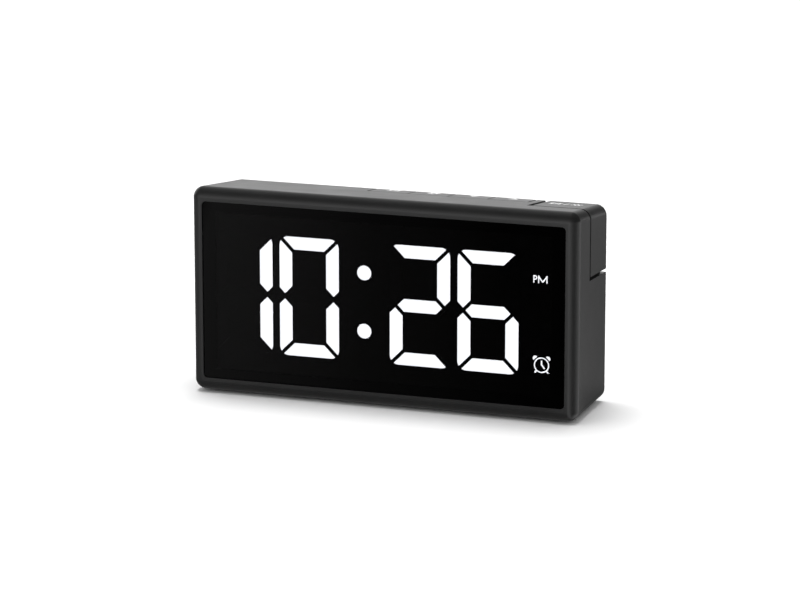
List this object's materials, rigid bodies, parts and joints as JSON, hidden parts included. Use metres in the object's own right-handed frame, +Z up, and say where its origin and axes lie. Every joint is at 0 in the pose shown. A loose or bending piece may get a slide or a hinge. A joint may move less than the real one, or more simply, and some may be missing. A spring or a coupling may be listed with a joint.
{
  "type": "digital alarm clock",
  "caption": "Free-standing wedge-shaped digital alarm clock with a smoked window over lit segment digits, flush top buttons and a corner snooze key.",
  "frame": {"origin": "on the surface that the feet stand on, under the middle of the case", "axes": "+X to the right as seen by someone reading the display, +Y from the display to the rear, +Z up"},
  "size_m": [0.1496, 0.0388, 0.0777],
  "materials": {
    "case_plastic": "fine satin texture",
    "button_plastic": "fine satin texture",
    "key_plastic": "fine satin texture",
    "smoked_lens": "polished smoked acrylic",
    "sticky_tape": "foam tape",
    "light_box": "matt black front, white wells",
    "lit_guide": "milky, lit",
    "unlit_guide": "milky, unlit behind smoke",
    "led_epoxy": "clear yellow resin",
    "board_green": "solder mask",
    "chip_black": "moulded resin",
    "crystal_can": "drawn can",
    "capacitor_sleeve": "shrunk sleeve",
    "socket_nylon": "moulded nylon",
    "ribbon_vinyl": "flat cable",
    "screw_steel": "zinc plated",
    "switch_black": "moulded",
    "plunger_white": "moulded",
    "inlet_steel": "plated shell",
    "tongue_black": "moulded",
    "buzzer_black": "moulded",
    "cell_steel": "satin steel",
    "contact_brass": "sprung strip",
    "foot_rubber": "soft matt"
  },
  "bodies": {
    "case": {"housing": "case_plastic", "rear_cover": "case_plastic", "cover_screws": "screw_steel", "feet": "foot_rubber", "display_lens": "smoked_lens", "lens_tape": "sticky_tape", "reflector_block": "light_box", "lit_segments": "lit_guide", "unlit_segments": "unlit_guide", "colon_dots": "lit_guide", "pm_indicator": "lit_guide", "alarm_indicator": "lit_guide", "led_chips": "led_epoxy", "main_board": "board_green", "board_screws": "screw_steel", "microcontroller": "chip_black", "led_drivers": "chip_black", "crystal": "crystal_can", "capacitors": "capacitor_sleeve", "ribbon_sockets": "socket_nylon", "key_ribbon": "ribbon_vinyl", "power_ribbon": "ribbon_vinyl", "key_board": "board_green", "key_board_screws": "screw_steel", "switch_bodies": "switch_black", "power_board": "board_green", "power_board_screws": "screw_steel", "power_socket": "inlet_steel", "socket_tongue": "tongue_black", "buzzer": "buzzer_black", "coin_cell": "cell_steel", "cell_contacts": "contact_brass"},
    "alarm_press": {"alarm_button": "button_plastic", "alarm_plunger": "plunger_white"},
    "set_press": {"set_button": "button_plastic", "set_plunger": "plunger_white"},
    "down_press": {"down_button": "button_plastic", "down_plunger": "plunger_white"},
    "up_press": {"up_button": "button_plastic", "up_plunger": "plunger_white"},
    "snooze_press": {"snooze_key": "key_plastic", "snooze_plunger": "plunger_white"},
    "door": {"battery_door": "case_plastic"}
  },
  "joints": [
    {"name": "alarm_travel", "type": "slide", "parent": "case", "child": "alarm_press", "axis": [0, 0, -1], "range_m": [0, 0.0005], "stiffness_N_per_m": 3000},
    {"name": "set_travel", "type": "slide", "parent": "case", "child": "set_press", "axis": [0, 0, -1], "range_m": [0, 0.0005], "stiffness_N_per_m": 3000},
    {"name": "down_travel", "type": "slide", "parent": "case", "child": "down_press", "axis": [0, 0, -1], "range_m": [0, 0.0005], "stiffness_N_per_m": 3000},
    {"name": "up_travel", "type": "slide", "parent": "case", "child": "up_press", "axis": [0, 0, -1], "range_m": [0, 0.0005], "stiffness_N_per_m": 3000},
    {"name": "snooze_travel", "type": "slide", "parent": "case", "child": "snooze_press", "axis": [0, 0, -1], "range_m": [0, 0.0008], "stiffness_N_per_m": 3000},
    {"name": "door_turn", "type": "hinge", "parent": "case", "child": "door", "pos_m": [-0.04, 0.0186, 0.0448], "axis": [0, 1, 0], "range_deg": [0, 45]}
  ]
}
